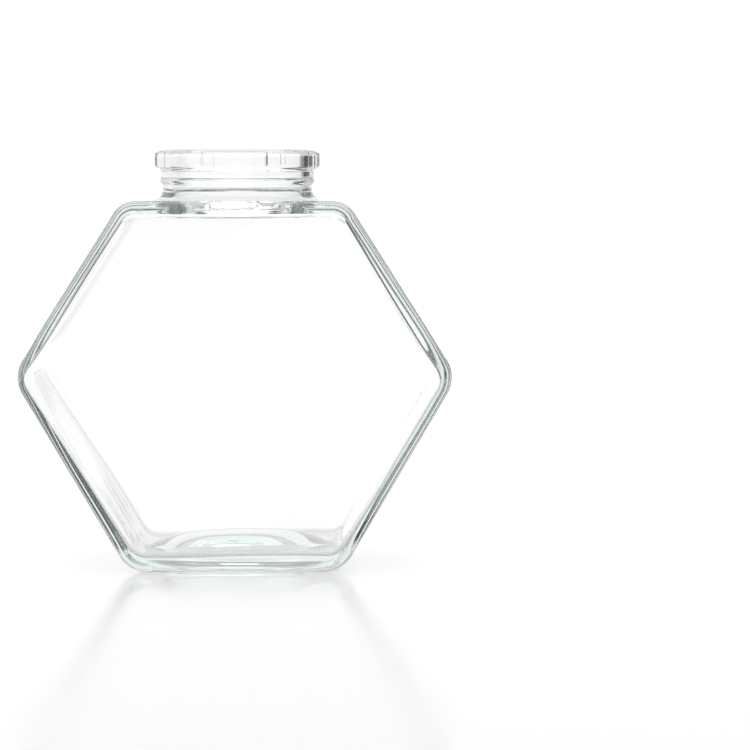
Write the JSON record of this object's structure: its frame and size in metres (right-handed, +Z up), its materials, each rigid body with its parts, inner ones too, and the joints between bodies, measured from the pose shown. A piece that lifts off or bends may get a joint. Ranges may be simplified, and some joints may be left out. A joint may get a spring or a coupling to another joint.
{
  "type": "hexagonal glass jar",
  "caption": "Flat hexagonal jar of clear glass, open and empty, with a short wide round neck and a thick base hollowed underneath.",
  "frame": {"origin": "middle of the jar's footprint, in the plane that it stands on", "axes": "+Z up through the neck, +X towards the jar's right side corner, -Y out of the large front face"},
  "size_m": [0.12, 0.056, 0.117],
  "materials": {
    "clear_glass": "polished"
  },
  "bodies": {
    "root": {"jar": "clear_glass"}
  },
  "joints": []
}
